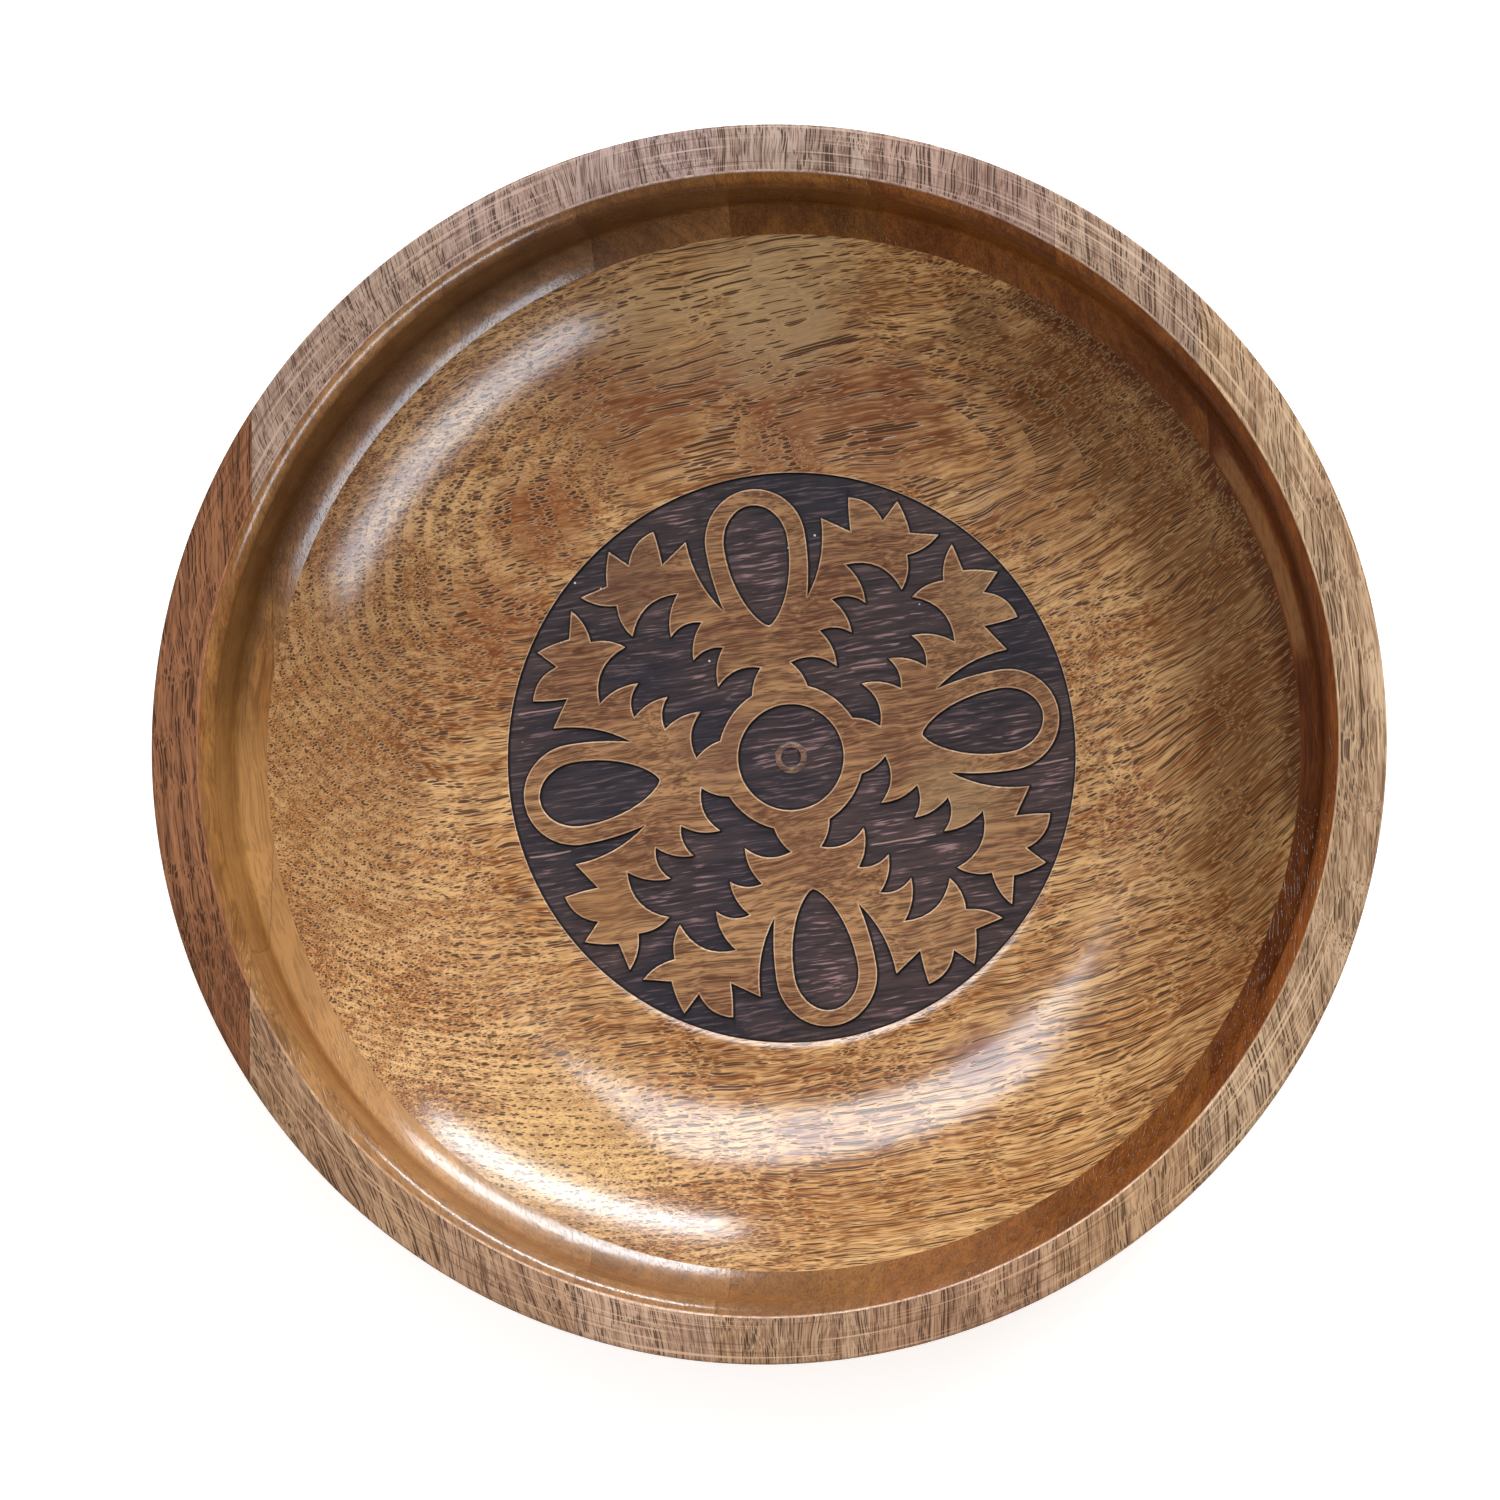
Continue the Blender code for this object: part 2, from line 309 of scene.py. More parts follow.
        # faint rings left by the lathe, seen on the dressed rim
        line = g.node("ShaderNodeCombineXYZ")
        g.put(line.inputs[0], g.math("MULTIPLY", reach, 1900.0))
        g.put(line.inputs[1], g.math("MULTIPLY", x, 22.0))
        g.put(line.inputs[2], g.math("MULTIPLY", y, 22.0))
        lathe = g.noise(line.outputs[0], 1.0, 1.0, 0.5)
        scored = tuple(min(1.0, c * 1.25) for c in light)
        base = g.mix(g.ramp(lathe, 0.56, 0.74, 0.0, 0.36 * turned), base, scored)
        base = g.mix(g.ramp(lathe, 0.26, 0.42, 0.30 * turned, 0.0), base, dark)

    if edge:
        near = g.node("ShaderNodeAttribute", attribute_name="edge").outputs["Fac"]
        uneven = g.math("MULTIPLY_ADD", hair, 0.30, near)
        rim_tone = tuple(min(1.0, c * 1.50) for c in light)
        base = g.mix(g.ramp(uneven, 0.30, 0.58, edge, 0.0), base, rim_tone)

    height = g.math("SUBTRACT", g.math("MULTIPLY", fine, 0.35), vessel)
    relief = g.node("ShaderNodeBump")
    relief.inputs["Strength"].default_value = 0.45
    relief.inputs["Distance"].default_value = 0.00014
    g.put(relief.inputs["Height"], height)
    shader = g.node("ShaderNodeBsdfPrincipled")
    g.put(shader.inputs["Base Color"], base)
    g.put(shader.inputs["Roughness"], g.ramp(ripple, 0.3, 0.7, rough[0], rough[1]))
    g.put(shader.inputs["Normal"], relief.outputs["Normal"])
    shader.inputs["IOR"].default_value = 1.45
    shader.inputs["Specular IOR Level"].default_value = gloss
    shader.inputs["Coat Weight"].default_value = coat
    shader.inputs["Coat Roughness"].default_value = 0.15
    shader.inputs["Coat IOR"].default_value = 1.5
    g.put(shader.inputs["Coat Normal"], relief.outputs["Normal"])
    out = g.node("ShaderNodeOutputMaterial")
    g.put(out.inputs["Surface"], shader.outputs["BSDF"])
    return material


# cracks across the burnt ground: middle x, middle y and half length
CRACKS = (
    (-0.0610, 0.0120, 0.0064), (0.0200, 0.0225, 0.0046), (-0.0590, -0.0235, 0.0054),
    (0.0640, -0.0015, 0.0055), (0.0285, -0.0205, 0.0085),
)


def burnt_wood(name):
    """Ground of the carving: singed nearly black, with its ridges along the fibres paler as a painted
    highlight.
    """
    material = bpy.data.materials.new(name)
    g = Graph(material)
    place = g.node("ShaderNodeTexCoord").outputs["Object"]
    along = g.mapping(place, rotation=(0.0, math.radians(3.0), -math.radians(8.5)))
    waver = g.waver(along, (50.0, 60.0, 60.0), 2.0, 0.55)
    grain = g.vector("MULTIPLY_ADD", waver, (0.0, 0.0022, 0.0022), along)
    near = g.node("ShaderNodeAttribute", attribute_name="edge").outputs["Fac"]

    ridges = g.noise(grain, (95.0, 1500.0, 1500.0), 2.0, 0.55)
    broad = g.noise(grain, (30.0, 330.0, 330.0), 3.0, 0.6)
    patch = g.noise(place, (26.0, 34.0, 34.0), 2.0, 0.5)
    open_ground = g.math("MULTIPLY", g.ramp(near, 1.3, 4.2), g.ramp(patch, 0.40, 0.58))

    base = g.mix(g.ramp(patch, 0.36, 0.62), srgb(40, 33, 40), srgb(68, 50, 48))
    base = g.mix(g.ramp(broad, 0.36, 0.60, 0.55, 0.0), base, srgb(30, 24, 30))
    base = g.mix(g.ramp(ridges, 0.30, 0.48, 0.60, 0.0), base, srgb(26, 20, 26))
    # painted highlight on the ridge crests, fainter near the walls and in some patches
    ridge_highlight = g.ramp(ridges, 0.54, 0.67)
    ridge_highlight = g.math("MULTIPLY", ridge_highlight, g.ramp(open_ground, 0.0, 1.0, 0.24, 0.80))
    base = g.mix(ridge_highlight, base, srgb(150, 116, 116))
    x, y, _z = g.parts(grain)
    for cx, cy, half in CRACKS:
        spot = Matrix.Rotation(-math.radians(8.5), 3, "Z") @ Vector((cx, cy, 0.0))
        offline = g.math("ABSOLUTE", g.math("SUBTRACT", y, spot.y))
        beyond = g.math("ABSOLUTE", g.math("SUBTRACT", x, spot.x))
        thin = g.ramp(offline, 0.00010, 0.00026, 0.75, 0.0)
        ends = g.ramp(beyond, half * 0.9, half, 1.0, 0.0)
        base = g.mix(g.math("MULTIPLY", thin, ends), base, srgb(168, 138, 126))
    # char and painted shade, near black, along the foot of every wall
    uneven = g.math("MULTIPLY_ADD", g.noise(place, 700.0, 2.0), 0.30, near)
    base = g.mix(g.ramp(uneven, 0.42, 0.95, 0.94, 0.0), base, srgb(14, 9, 12))
    # dust caught here and there
    distance, chance = g.cells(place, (150.0, 150.0, 150.0))
    rare = g.ramp(g.parts(chance)[0], 0.72, 0.74, smooth=False)
    dust = g.math("MULTIPLY", g.ramp(distance, 0.030, 0.050, 1.0, 0.0), rare)
    base = g.mix(g.math("MULTIPLY", dust, 0.8), base, srgb(225, 222, 220))

    height = g.math("MULTIPLY_ADD", ridges, 1.0, g.math("MULTIPLY", broad, 0.6))
    relief = g.node("ShaderNodeBump")
    relief.inputs["Strength"].default_value = 0.6
    relief.inputs["Distance"].default_value = 0.00022
    g.put(relief.inputs["Height"], height)
    shader = g.node("ShaderNodeBsdfPrincipled")
    g.put(shader.inputs["Base Color"], base)
    g.put(shader.inputs["Roughness"], g.ramp(ridges, 0.3, 0.7, 0.72, 0.55))
    g.put(shader.inputs["Normal"], relief.outputs["Normal"])
    shader.inputs["Specular IOR Level"].default_value = 0.15
    shader.inputs["Coat Weight"].default_value = 0.05
    shader.inputs["Coat Roughness"].default_value = 0.35
    out = g.node("ShaderNodeOutputMaterial")
    g.put(out.inputs["Surface"], shader.outputs["BSDF"])
    return material


# ---- shapes --------------------------------------------------------------------------------
def outer_radius(z):
    """Radius of the outer wall at a height."""
    drop = (HEIGHT - z) / (HEIGHT - FOOT_HEIGHT)
    return WALL_START + (RIM_RADIUS - WALL_START) * (1.0 - drop**WALL_POWER) ** (1.0 / WALL_POWER)


def outer_wall(low, high, count):
    """Points up the outer wall, closest together near its foot."""
    points = []
    for k in range(count + 1):
        z = low + (high - low) * (k / count) ** 1.6
        points.append((outer_radius(z), z))
    return points


def bow(a, b, bulge, count):
    """Arc from a to b without its end; a positive bulge swells to the right of the way."""
    dx = b[0] - a[0]
    dy = b[1] - a[1]
    points = []
    for k in range(count):
        t = k / count
        swell = 4.0 * bulge * t * (1.0 - t)
        points.append((a[0] + dx * t + dy * swell, a[1] + dy * t - dx * swell))
    return points


def quarter(centre, radius, start, count):
    """Small rounded edge of a section, a quarter turn anticlockwise."""
    points = []
    for k in range(count + 1):
        a = math.radians(start + 90.0 * k / count)
        points.append((centre[0] + radius * math.cos(a), centre[1] + radius * math.sin(a)))
    return points


def dish_section():
    """Section of the dish from the middle of its underside round to the edge of the floor."""
    top = GLUE_Z - HAIR
    points = [(HOLLOW_RADIUS - 0.0025, HOLLOW_DEPTH)]
    points += bow((HOLLOW_RADIUS - 0.0020, HOLLOW_DEPTH), (HOLLOW_RADIUS, 0.0002), -0.2, 4)
    points += [(HOLLOW_RADIUS + 0.0003, 0.0)]
    points += quarter((FOOT_RADIUS - 0.0008, 0.0008), 0.0008, -90.0, 5)
    points += [(FOOT_RADIUS, FOOT_HEIGHT - 0.0010)]
    neck = (FOOT_RADIUS + 0.0001, FOOT_HEIGHT - 0.0005)
    points += bow(neck, (WALL_START + 0.001, FOOT_HEIGHT + 0.0001), 0.1, 3)
    points += outer_wall(FOOT_HEIGHT + 0.0002, top, 34)
    count = 44
    for k in range(count, -1, -1):
        t = k / count
        r = FLOOR_RADIUS + (DISH_MOUTH - FLOOR_RADIUS) * t
        points.append((r, FLOOR_Z + (top - FLOOR_Z) * t**DISH_POWER))
    return points


def ring_section():
    """Closed cross section of the rim ring, anticlockwise from its outer bottom edge."""
    low = GLUE_Z + HAIR
    edge = 0.0006
    points = outer_wall(low, HEIGHT - edge, 20)[:-1]
    points += quarter((RIM_RADIUS - edge, HEIGHT - edge), edge, 0.0, 5)
    points += [(RIM_INNER + ARRIS, HEIGHT), (RIM_INNER + ARRIS * 0.35, HEIGHT - ARRIS * 0.25)]
    points += bow((RIM_INNER, HEIGHT - ARRIS), LIP_START, 0.05, 8)
    points += bow(LIP_START, WALL_HEAD, 0.15, 5)
    points += bow(WALL_HEAD, WALL_FOOT, -0.01, 10)
    points += bow(WALL_FOOT, LEDGE_END, -0.10, 8)
    points += bow(LEDGE_END, (DISH_MOUTH, low), -0.02, 8)
    points.append((DISH_MOUTH, low))
    return points


def finish(name, work, materials):
    """Mesh object out of a finished bmesh."""
    bmesh.ops.recalc_face_normals(work, faces=work.faces)
    mesh = bpy.data.meshes.new(name)
    work.to_mesh(mesh)
    work.free()
    mesh.shade_smooth()
    mesh.set_sharp_from_angle(angle=SHARP)
    for material in materials:
        mesh.materials.append(material)
    thing = bpy.data.objects.new(name, mesh)
    bpy.context.scene.collection.objects.link(thing)
    return thing


def block(name, start, end, side, materials):
    """One board of the ring between two upright joints, closed at its ends.

    Materials: dressed rim and outside, lacquered inside, worn inner edge.
    """
    section = ring_section()
    sweep = []
    for r, _z in section:
        if side:
            turn = (math.acos(end / r), math.acos(start / r))
        elif start is None:
            turn = (math.acos(end / r), 2.0 * math.pi - math.acos(end / r))
        else:
            turn = (-math.acos(start / r), math.acos(start / r))
        sweep.append(turn)
    widest = max(abs(b - a) for a, b in sweep)
    count = max(6, math.ceil(widest * TURN_STEPS / (2.0 * math.pi)))
    work = bmesh.new()
    loops = []
    for j in range(count + 1):
        loop = []
        for (r, z), (a, b) in zip(section, sweep):
            t = a + (b - a) * j / count
            loop.append(work.verts.new((r * math.cos(t), (side or 1) * r * math.sin(t), z)))
        loops.append(loop)
    for one, two in zip(loops, loops[1:]):
        for i in range(len(section)):
            face = work.faces.new((one[i - 1], one[i], two[i], two[i - 1]))
            face.material_index = DRESSED
            r, z = section[i]
            before = section[i - 1][0]
            if max(r, before) < RIM_INNER + ARRIS * 0.1:
                face.material_index = INSIDE
            elif max(r, before) < RIM_INNER + ARRIS * 1.1 and z > WALL_HEAD[1]:
                face.material_index = INNER_EDGE
    work.faces.new(loops[0])
    work.faces.new(loops[-1])
    return finish(name, work, materials)


# ---- medallion outlines ----------------------------------------------------------------------
def half_petal(count):
    """Rounded petal edge from its tip down to the slit."""
    wide, half = PETAL_WIDE
    points = []
    for k in range(count):
        a = 0.5 * math.pi * k / count
        points.append((wide + (PETAL_TIP - wide) * math.cos(a), half * math.sin(a)))
    foot, narrow = LEAF[0][:2]
    for k in range(10):
        t = k / 10.0
        points.append((wide + (foot - wide) * t, half + (narrow - half) * t * t))
    return points


def place_point(u, v, axis):
    """Medallion point on one leaf axis, in metres."""
    c = math.cos(axis)
    s = math.sin(axis)
    return (MEDALLION * (u * c - v * s), MEDALLION * (u * s + v * c))


def motif():
    """Outline of the raised leaves, petals and hub as one loop, counter-clockwise."""
    half = half_petal(22)
    stops = [p[:2] for p in LEAF] + [NECK]
    for k, (_u, _v, bulge) in enumerate(LEAF):
        half += bow(stops[k], stops[k + 1], bulge, 8)
    half.append(NECK)
    between = math.pi / PETALS - math.atan2(NECK[1], NECK[0])
    loop = []
    for k in range(PETALS):
        axis = AXIS + 2.0 * math.pi * k / PETALS
        loop += [place_point(u, -v, axis) for u, v in reversed(half[1:])]
        loop += [place_point(u, v, axis) for u, v in half]
        edge = axis + math.pi / PETALS
        for n in range(1, 8):
            a = edge + between * (n / 4.0 - 1.0)
            loop.append((MEDALLION * HUB * math.cos(a), MEDALLION * HUB * math.sin(a)))
    return loop


def egg(axis):
    """Pointed oval sunk into one petal."""
    low, top, wide, half = EGG
    side = []
    for k in range(20):
        a = 0.5 * math.pi * k / 20
        side.append((wide + (top - wide) * math.cos(a), half * math.sin(a)))
    for k in range(24):
        t = math.sin(0.5 * math.pi * k / 24)
        side.append((wide + (low - wide) * t, half * (1.0 - t * t) ** 0.7))
    full = side + [(low, 0.0)]
    full += [(u, -v) for u, v in reversed(side[1:])]
    return [place_point(u, v, axis) for u, v in full]


def circle(radius, count):
    """Points round a circle."""
    turns = [2.0 * math.pi * k / count for k in range(count)]
    return [(radius * math.cos(a), radius * math.sin(a)) for a in turns]


def offset(loop, distance):
    """The loop moved to its right by a small distance, with its corners kept short."""
    moved = []
    size = len(loop)
    for i in range(size):
        before = Vector(loop[i]) - Vector(loop[i - 1])
        after = Vector(loop[(i + 1) % size]) - Vector(loop[i])
        n1 = Vector((before.y, -before.x)).normalized()
        n2 = Vector((after.y, -after.x)).normalized()
        mid = n1 + n2
        mid = mid.normalized() if mid.length > 1e-6 else n1
        reach = distance / max(0.45, mid.dot(n1))
        moved.append((loop[i][0] + mid.x * reach, loop[i][1] + mid.y * reach))
    return moved


def along(loop, step):
    """Points evenly spaced along a closed loop, each with its right-hand normal."""
    found = []
    size = len(loop)
    for i in range(size):
        a = Vector(loop[i])
        b = Vector(loop[(i + 1) % size])
        count = max(1, round((b - a).length / step))
        way = (b - a).normalized()
        for k in range(count):
            found.append((a + (b - a) * (k / count), Vector((way.y, -way.x))))
    return found


class Carving:
    """Builds the medallion's surfaces and keeps how far each point is from a carved edge."""

    GRID = 1.15 * MM
    ROWS = (0.28 * MM, 0.62 * MM)

    def __init__(self, work, outlines):
        self.work = work
        self.near = work.verts.layers.float.new("edge")
        samples = [spot for loop in outlines for spot, _n in along(loop, 0.12 * MM)]
        self.tree = self.tree_of(samples)
        self.rows = []
        for loop in outlines:
            for spot, right in along(loop, 0.5 * MM):
                for away in self.ROWS:
                    for sign in (1.0, -1.0):
                        point = spot + right * away * sign
                        if self.distance(point) > 0.9 * away:
                            self.rows.append(point)
        reach = int(MEDALLION / self.GRID) + 1
        for j in range(-reach, reach + 1):
            for i in range(-reach, reach + 1):
                point = Vector(((i + 0.5 * (j % 2)) * self.GRID, j * self.GRID * 0.866))
                if point.length < MEDALLION and self.distance(point) > 0.95 * MM:
                    self.rows.append(point)

    @staticmethod
    def tree_of(points):
        tree = kdtree.KDTree(len(points))
        for i, spot in enumerate(points):
            tree.insert((spot[0], spot[1], 0.0), i)
        tree.balance()
        return tree

    def distance(self, point):
        return self.tree.find((point[0], point[1], 0.0))[2]

    def loop(self, points, z):
        """Vertices of one loop at a height."""
        made = []
        for x, y in points:
            vert = self.work.verts.new((x, y, z))
            vert[self.near] = self.distance((x, y)) / MM
            made.append(vert)
        return made

    def strip(self, a, b, index):
        """Band of quads between two matching loops."""
        size = len(a)
        for i in range(size):
            n = (i + 1) % size
            face = self.work.faces.new((a[i], a[n], b[n], b[i]))
            face.material_index = index

    def cliff(self, points, sunk_side, top_index):
        """Carved edge: worn lip, steep burnt wall and a soft foot.

        sunk_side is +1 where the sunk ground lies to the right of the loop, -1 to its left.
        Returns the top loop and the ground loop.
        """
        top = self.loop(offset(points, -sunk_side * LIP), FLOOR_Z)
        edge = self.loop(points, FLOOR_Z - LIP * 0.6)
        wall = self.loop(offset(points, sunk_side * 0.00005), FLOOR_Z - SINK + 0.0001)
        foot = self.loop(offset(points, sunk_side * 0.00014), FLOOR_Z - SINK)
        self.strip(top, edge, top_index)
        self.strip(edge, wall, BURNT)
        self.strip(wall, foot, BURNT)
        return top, foot

    def fill(self, loops, z, index, relief):
        """Surface inside the first loop and outside the others, fine enough for a gentle relief."""
        verts = [v for loop in loops for v in loop]
        flat = [Vector((v.co.x, v.co.y)) for v in verts]
        edges = []
        starts = []
        for loop in loops:
            base = len(edges)
            size = len(loop)
            ring = [(base + i, base + (i + 1) % size) for i in range(size)]
            edges += ring
            starts += ring if base == 0 else [(b, a) for a, b in ring]
        bounds = self.tree_of(flat)
        inner = [p for p in self.rows if bounds.find((p.x, p.y, 0.0))[2] > 0.12 * MM]
        points, _e, faces, origin, _oe, _of = delaunay_2d_cdt(flat + inner, edges, [], 0, 1e-7)
        first = {k: i for i, known in enumerate(origin) for k in known}
        walls = {frozenset((first[a], first[b])) for a, b in edges}
        beside = {}
        for n, face in enumerate(faces):
            for a, b in zip(face, face[1:] + face[:1]):
                beside[(a, b)] = n
        keep = set()
        waiting = [beside[(first[a], first[b])] for a, b in starts]
        while waiting:
            n = waiting.pop()
            if n in keep:
                continue
            keep.add(n)
            face = faces[n]
            for a, b in zip(face, face[1:] + face[:1]):
                if frozenset((a, b)) not in walls and (b, a) in beside:
                    waiting.append(beside[(b, a)])
        made = {first[k]: vert for k, vert in enumerate(verts)}
        for n in sorted(keep):
            corners = []
            for i in faces[n]:
                if i not in made:
                    made[i] = self.raised(points[i], z, relief)
                corners.append(made[i])
            self.work.faces.new(corners).material_index = index

    def raised(self, point, z, relief):
        near = self.distance(point) / MM
        along_fibre = point.x * math.cos(AXIS) + point.y * math.sin(AXIS)
        across = point.y * math.cos(AXIS) - point.x * math.sin(AXIS)
        bumps = noise.noise(Vector((along_fibre * 160.0, across * 420.0, 3.0)))
        vert = self.work.verts.new((point.x, point.y, z + relief * bumps * min(1.0, near / 1.2)))
        vert[self.near] = near
        return vert


# radius and height above the burnt ground, from the outside in
BUTTON_STEPS = (
    (0.0039, 0.00012), (0.0035, 0.00034), (0.0030, 0.00040),
    (0.0025, 0.00034), (0.0021, 0.00010), (0.0018, -0.00010),
)


def dish(name, materials):
    """The dish with its carved medallion, one closed body."""
    section = dish_section()
    work = bmesh.new()
    rim = circle(MEDALLION, TURN_STEPS)
    leaves = motif()
    eggs = [egg(AXIS + 2.0 * math.pi * k / PETALS) for k in range(PETALS)]
    disc = circle(MEDALLION * DISC, 96)
    carving = Carving(work, [rim, leaves, disc] + eggs)
    loops = []
    for r, z in section:
        loop = carving.loop(circle(r, TURN_STEPS), z)
        loops.append(loop)
    for i in range(len(section) - 1):
        out = section[i + 1][1] < FLOOR_Z - 0.0005 or section[i][0] > DISH_MOUTH + 0.0001
        carving.strip(loops[i], loops[i + 1], OUTSIDE if out else LACQUER)
    work.faces.new(loops[0]).material_index = OUTSIDE

    ring_top, ring_foot = carving.cliff(rim, -1, WORN)
    carving.strip(loops[-1], ring_top, LACQUER)
    leaf_top, leaf_foot = carving.cliff(leaves, 1, WORN)
    carving.fill([ring_foot, leaf_foot], FLOOR_Z - SINK, BURNT, BURNT_DEEP)
    holes = []
    for outline in eggs:
        top, foot = carving.cliff(outline, -1, WORN)
        carving.fill([foot], FLOOR_Z - SINK, BURNT, BURNT_DEEP)
        holes.append(top)
    top, foot = carving.cliff(disc, -1, WORN)
    holes.append(top)
    carving.fill([leaf_top] + holes, FLOOR_Z, RAISED, 0.00002)

    # small turned ring left standing in the middle of the disc
    last = carving.loop(circle(0.0044, 96), FLOOR_Z - SINK)
    carving.fill([foot, last], FLOOR_Z - SINK, BURNT, 0.00005)
    for radius, z in BUTTON_STEPS:
        new = carving.loop(circle(radius, 96), FLOOR_Z - SINK + z)
        carving.strip(last, new, BURNT if z < 0.0002 else BUTTON)
        last = new
    work.faces.new(last).material_index = BURNT
    return finish(name, work, materials)


# ---- materials -------------------------------------------------------------------------------
def tones(*colours):
    return tuple(srgb(*c) for c in colours)


DISH_FIBRE = 10.0
DISH_RINGS = (0.085, -0.070, 0.0023)
DISH_TONES = tones((98, 50, 18), (166, 112, 62), (212, 168, 113), (132, 72, 30))
SPOTS = (
    # x, y, radius, strength, colour
    (-0.040, 0.090, 0.020, 0.70, (122, 70, 40)), (0.000, 0.090, 0.022, 0.75, (120, 68, 42)),
    (0.026, 0.082, 0.014, 0.75, (116, 62, 34)), (-0.062, 0.060, 0.012, 0.70, (128, 66, 30)),
    (-0.075, 0.035, 0.014, 0.55, (134, 76, 40)), (0.060, 0.062, 0.016, 0.50, (124, 74, 36)),
    (0.046, -0.074, 0.0060, 0.75, (116, 72, 62)), (0.057, -0.064, 0.0045, 0.60, (120, 78, 68)),
    (-0.0712, 0.0132, 0.0017, 0.85, (78, 34, 16)), (-0.0665, -0.034, 0.0024, 0.80, (86, 40, 18)),
    (0.048, 0.106, 0.008, 0.55, (90, 60, 30)), (-0.055, -0.095, 0.020, 0.35, (206, 166, 104)),
    # the last two spots are a painted pale sheen high on the far dish wall
    (-0.004, 0.113, 0.018, 0.55, (200, 172, 128)), (-0.034, 0.108, 0.012, 0.40, (196, 166, 120)),
)
ARCS = (
    # near and far radius, softness, middle angle, half angle, fade, strength, colour
    # the first arc is mostly painted shade and a painted dark reflection of the cove under the glue line at
    # upper right, partly stain; the second is painted shade on the upper-right dish wall; the third darkens
    # the dish's left side
    (0.1225, 0.1300, 0.0022, 28.0, 38.0, 5.0, 0.85, (66, 20, 6)),
    (0.0980, 0.1245, 0.0090, 22.0, 54.0, 22.0, 0.76, (90, 46, 4)),
    (0.0950, 0.1300, 0.0110, 178.0, 38.0, 24.0, 0.40, (124, 80, 44)),
)
RAISED_SPOTS = (
    (-0.040, 0.044, 0.0110, 0.60, (92, 60, 48)), (-0.018, 0.004, 0.0100, 0.55, (100, 66, 54)),
    (0.049, 0.039, 0.0090, 0.22, (152, 128, 90)), (0.040, -0.012, 0.0100, 0.50, (156, 128, 92)),
    (-0.047, -0.036, 0.0090, 0.40, (150, 108, 66)), (0.006, -0.020, 0.0080, 0.35, (112, 72, 54)),
)
dish_looks = dict(fibre=DISH_FIBRE, rings=DISH_RINGS, seed=1.0, dip=5.0, rows=1.0, streak=1.4, bend=3.2)
lacquered = wood("dish_lacquered", DISH_TONES, spots=SPOTS, arcs=ARCS, **dish_looks)
raised_tones = tones((80, 48, 32), (138, 96, 66), (170, 128, 88), (112, 70, 50))
raised = wood("dish_raised", raised_tones, coat=0.30, pore=0.40, edge=0.80, rough=(0.42, 0.55),
              spots=RAISED_SPOTS, **dish_looks)
worn_tones = tones((150, 112, 84), (204, 170, 140), (220, 190, 160), (190, 154, 124))
worn = wood("dish_worn_edge", worn_tones, coat=0.3, pore=0.3, **dish_looks)
under_tones = tones((94, 54, 26), (160, 112, 68), (184, 138, 90), (140, 90, 52))
outside = wood("dish_outside", under_tones, coat=0.35, rough=(0.42, 0.56), **dish_looks)
button_tones = tones((74, 50, 48), (120, 90, 84), (156, 128, 100), (106, 76, 72))
button = wood("dish_button", button_tones, coat=0.2, pore=0.4, **dish_looks)
burnt = burnt_wood("dish_burnt")

dish_piece = dish("carved_dish", [lacquered, burnt, worn, outside, raised, button])
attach(dish_piece, "root")
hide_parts("dish")

# each board of the rim: fibre angle, tones of the dressed rim, tones of the lacquered inside
# the lacquered insides darken toward the right-hand boards: partly a darker stain, partly painted shade on
# the right of the cove
BOARDS = {
    "left": (96.0, tones((80, 50, 38), (126, 84, 62), (146, 102, 80), (108, 68, 50)),
             tones((78, 42, 14), (134, 86, 40), (160, 112, 60), (104, 58, 20))),
    1: (109.0, tones((102, 74, 58), (154, 124, 102), (176, 148, 124), (132, 104, 82)),
        tones((78, 46, 18), (144, 96, 50), (170, 122, 72), (106, 64, 28))),
    2: (104.0, tones((104, 76, 62), (158, 128, 108), (180, 152, 132), (140, 108, 90)),
        tones((76, 44, 20), (134, 90, 48), (158, 112, 66), (98, 60, 30))),
    3: (97.0, tones((108, 80, 66), (164, 136, 120), (186, 160, 144), (146, 116, 98)),
        tones((72, 40, 14), (124, 80, 38), (146, 98, 50), (90, 52, 18))),
    4: (91.0, tones((96, 64, 48), (162, 134, 112), (188, 162, 140), (142, 112, 92)),
        tones((66, 32, 4), (120, 72, 24), (144, 92, 36), (82, 42, 8))),
    5: (91.0, tones((100, 70, 56), (156, 124, 104), (178, 148, 126), (136, 104, 88)),
        tones((62, 24, 1), (114, 60, 14), (138, 80, 28), (78, 34, 4))),
    6: (92.0, tones((104, 72, 54), (164, 134, 108), (188, 160, 132), (146, 112, 88)),
        tones((62, 24, 1), (114, 60, 14), (138, 80, 28), (78, 34, 4))),
    "right": (93.0, tones((104, 74, 52), (166, 136, 110), (190, 162, 134), (146, 114, 88)),
              tones((60, 22, 1), (108, 54, 12), (132, 72, 24), (74, 30, 4))),
}
